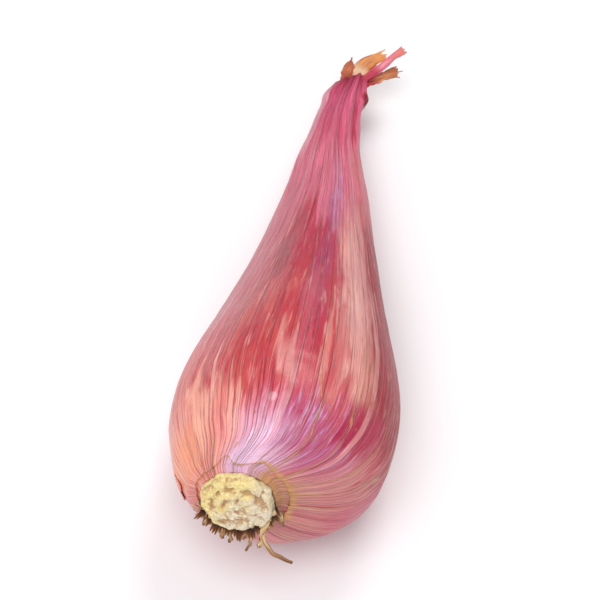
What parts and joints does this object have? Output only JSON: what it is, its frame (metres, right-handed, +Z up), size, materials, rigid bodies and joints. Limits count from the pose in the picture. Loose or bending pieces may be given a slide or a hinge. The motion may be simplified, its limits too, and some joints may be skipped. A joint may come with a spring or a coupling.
{
  "type": "shallot",
  "caption": "Whole teardrop shallot lying on its side: dry-skinned bulb tapering into a dried neck, with corky root plate, root stubs and papery leaf ends.",
  "frame": {"origin": "middle of the small flat spot on the belly that the shallot rests on", "axes": "+Y from the root end towards the neck, +Z up away from the surface it lies on, +X to the right when looking from the root end"},
  "size_m": [0.0268, 0.0777, 0.0258],
  "materials": {
    "skin": "thin dry skin, streaked pink to copper red, softly glossy",
    "cork": "rough dry cork, cream",
    "dry_root": "dry fibre, cream with brown ends",
    "torn_skin": "papery, copper to tan",
    "dry_leaf_pink": "papery, pink",
    "dry_leaf_tan": "papery, tan",
    "dry_leaf_brown": "papery, brown"
  },
  "bodies": {
    "root": {"bulb": "skin", "root_plate": "cork", "root_stub_1": "dry_root", "root_stub_2": "dry_root", "root_stub_3": "dry_root", "root_stub_4": "dry_root", "root_stub_5": "dry_root", "root_stub_6": "dry_root", "root_stub_7": "dry_root", "root_stub_8": "dry_root", "skin_flap": "torn_skin", "dry_leaf_pink": "dry_leaf_pink", "dry_leaf_tan": "dry_leaf_tan", "dry_leaf_brown": "dry_leaf_brown", "dry_leaf_small": "dry_leaf_brown"}
  },
  "joints": []
}
